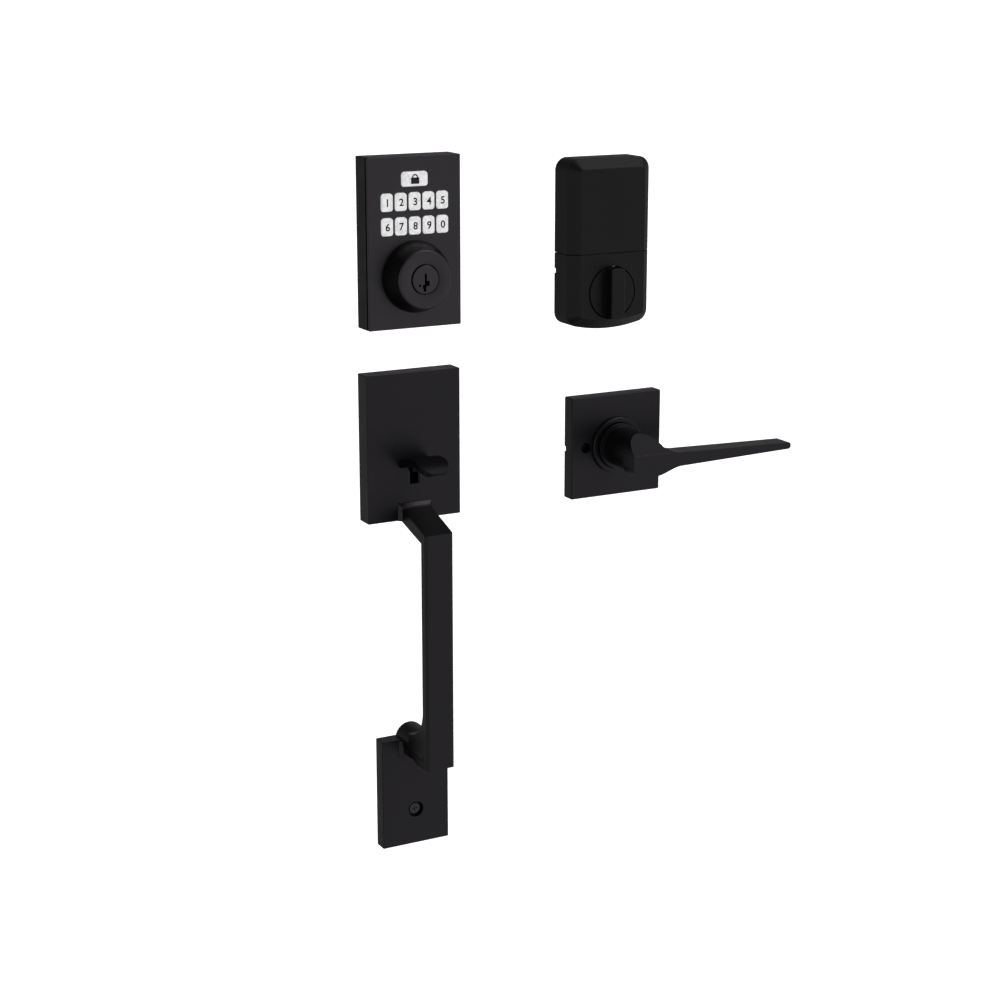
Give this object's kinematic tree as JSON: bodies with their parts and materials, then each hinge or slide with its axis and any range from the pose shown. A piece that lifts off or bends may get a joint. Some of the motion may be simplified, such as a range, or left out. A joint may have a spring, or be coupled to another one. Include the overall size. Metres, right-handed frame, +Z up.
{
  "type": "keypad smart lock",
  "caption": "Keypad deadbolt with key cylinder, battery-powered interior unit with thumbturn, entry handleset with thumbpiece and square grip, and interior lever on a square rose.",
  "frame": {"origin": "on the deadbolt cylinder's axis, in the plane of the keypad's back, which is the door's face", "axes": "+Z up, +Y into the door, fronts face -Y; the four units lie side by side with their backs in the plane y = 0"},
  "size_m": [0.3255, 0.106, 0.503],
  "materials": {
    "black_metal": "satin powder coat",
    "black_plastic": "fine moulded texture",
    "key_white": "lightly mottled translucent",
    "black_rubber": "moulded",
    "steel": "zinc plated",
    "board_green": "solder mask",
    "dark_plug": "satin black plated",
    "battery_wrap": "printed foil wrap",
    "gear_plastic": "acetal"
  },
  "bodies": {
    "root": {"keypad_housing": "black_metal", "keypad_faceplate": "black_metal", "cylinder_guard": "black_metal", "upper_escutcheon": "black_metal", "grip_handle": "black_metal", "lower_escutcheon": "black_metal", "lever_rose": "black_metal", "rose_collar": "black_metal", "upper_back_plate": "black_metal", "key_mat": "black_rubber", "keypad_gasket": "black_rubber", "cable_grommet": "black_rubber", "upper_gasket": "black_rubber", "keypad_board": "board_green", "interior_board": "board_green", "keypad_back_plate": "steel", "keypad_back_screws": "steel", "cylinder_posts": "steel", "battery_contacts": "steel", "mounting_plate": "steel", "housing_screws": "steel", "gearbox_plate": "steel", "motor": "steel", "upper_posts": "steel", "grip_screws": "steel", "thumb_pivot_pin": "steel", "thumb_bracket": "steel", "thumb_spring": "steel", "lower_back_plate": "steel", "rose_liner": "steel", "lever_chassis": "steel", "lever_spring": "steel", "cylinder_body": "dark_plug", "lower_bolt": "dark_plug", "rose_screws": "dark_plug", "interior_housing": "black_plastic", "battery_tray": "black_plastic", "batteries": "battery_wrap"},
    "key_plug": {"key_plug": "dark_plug"},
    "torque_blade": {"torque_blade": "steel"},
    "battery_cover": {"battery_cover": "black_plastic"},
    "thumbturn": {"thumbturn": "black_plastic", "turn_gear": "gear_plastic"},
    "idler_gear": {"idler_gear": "gear_plastic"},
    "motor_pinion": {"motor_pinion": "gear_plastic"},
    "thumbpiece": {"thumbpiece": "black_metal"},
    "lever": {"lever_handle": "black_metal", "lever_spindle": "steel"},
    "key_1": {"key_1": "key_white"},
    "key_2": {"key_2": "key_white"},
    "key_3": {"key_3": "key_white"},
    "key_4": {"key_4": "key_white"},
    "key_5": {"key_5": "key_white"},
    "key_6": {"key_6": "key_white"},
    "key_7": {"key_7": "key_white"},
    "key_8": {"key_8": "key_white"},
    "key_9": {"key_9": "key_white"},
    "key_0": {"key_0": "key_white"},
    "lock_button": {"lock_button": "key_white"}
  },
  "joints": [
    {"name": "key_1_press", "type": "slide", "parent": "root", "child": "key_1", "axis": [0, 1, 0], "range_m": [0, 0.0008], "stiffness_N_per_m": 600, "springref_m": -0.0004},
    {"name": "key_2_press", "type": "slide", "parent": "root", "child": "key_2", "axis": [0, 1, 0], "range_m": [0, 0.0008], "stiffness_N_per_m": 600, "springref_m": -0.0004},
    {"name": "key_3_press", "type": "slide", "parent": "root", "child": "key_3", "axis": [0, 1, 0], "range_m": [0, 0.0008], "stiffness_N_per_m": 600, "springref_m": -0.0004},
    {"name": "key_4_press", "type": "slide", "parent": "root", "child": "key_4", "axis": [0, 1, 0], "range_m": [0, 0.0008], "stiffness_N_per_m": 600, "springref_m": -0.0004},
    {"name": "key_5_press", "type": "slide", "parent": "root", "child": "key_5", "axis": [0, 1, 0], "range_m": [0, 0.0008], "stiffness_N_per_m": 600, "springref_m": -0.0004},
    {"name": "key_6_press", "type": "slide", "parent": "root", "child": "key_6", "axis": [0, 1, 0], "range_m": [0, 0.0008], "stiffness_N_per_m": 600, "springref_m": -0.0004},
    {"name": "key_7_press", "type": "slide", "parent": "root", "child": "key_7", "axis": [0, 1, 0], "range_m": [0, 0.0008], "stiffness_N_per_m": 600, "springref_m": -0.0004},
    {"name": "key_8_press", "type": "slide", "parent": "root", "child": "key_8", "axis": [0, 1, 0], "range_m": [0, 0.0008], "stiffness_N_per_m": 600, "springref_m": -0.0004},
    {"name": "key_9_press", "type": "slide", "parent": "root", "child": "key_9", "axis": [0, 1, 0], "range_m": [0, 0.0008], "stiffness_N_per_m": 600, "springref_m": -0.0004},
    {"name": "key_0_press", "type": "slide", "parent": "root", "child": "key_0", "axis": [0, 1, 0], "range_m": [0, 0.0008], "stiffness_N_per_m": 600, "springref_m": -0.0004},
    {"name": "lock_button_press", "type": "slide", "parent": "root", "child": "lock_button", "axis": [0, 1, 0], "range_m": [0, 0.0008], "stiffness_N_per_m": 600, "springref_m": -0.0004},
    {"name": "plug_turn", "type": "hinge", "parent": "root", "child": "key_plug", "pos_m": [0, -0.015, 0], "axis": [0, 1, 0], "range_deg": [-90, 90]},
    {"name": "blade_turn", "type": "hinge", "parent": "root", "child": "torque_blade", "pos_m": [0, -0.004, 0], "axis": [0, 1, 0], "range_deg": [0, 90]},
    {"name": "cover_slide", "type": "slide", "parent": "root", "child": "battery_cover", "axis": [0, 0, 1], "range_m": [0, 0.075]},
    {"name": "thumbturn_turn", "type": "hinge", "parent": "root", "child": "thumbturn", "pos_m": [0.1533, -0.012, -0.0212], "axis": [0, 1, 0], "range_deg": [0, 90]},
    {"name": "idler_turn", "type": "hinge", "parent": "root", "child": "idler_gear", "pos_m": [0.13969, -0.0105, -0.00379], "axis": [0, 1, 0], "range_deg": [-108, 0]},
    {"name": "pinion_turn", "type": "hinge", "parent": "root", "child": "motor_pinion", "pos_m": [0.15358, -0.0105, -0.00134], "axis": [0, 1, 0], "range_deg": [0, 270]},
    {"name": "thumbpiece_press", "type": "hinge", "parent": "root", "child": "thumbpiece", "pos_m": [0, -0.0076, -0.136], "axis": [1, 0, 0], "range_deg": [0, 16], "stiffness_Nm_per_rad": 0.15, "springref_deg": -20.05},
    {"name": "lever_turn", "type": "hinge", "parent": "root", "child": "lever", "pos_m": [0.1673, -0.012, -0.1376], "axis": [0, 1, 0], "range_deg": [-45, 45], "stiffness_Nm_per_rad": 2, "springref_deg": -1.72}
  ],
  "couplings": [
    {"joint": "idler_turn", "follows": "thumbturn_turn", "ratio": -1.2},
    {"joint": "pinion_turn", "follows": "thumbturn_turn", "ratio": 3}
  ]
}
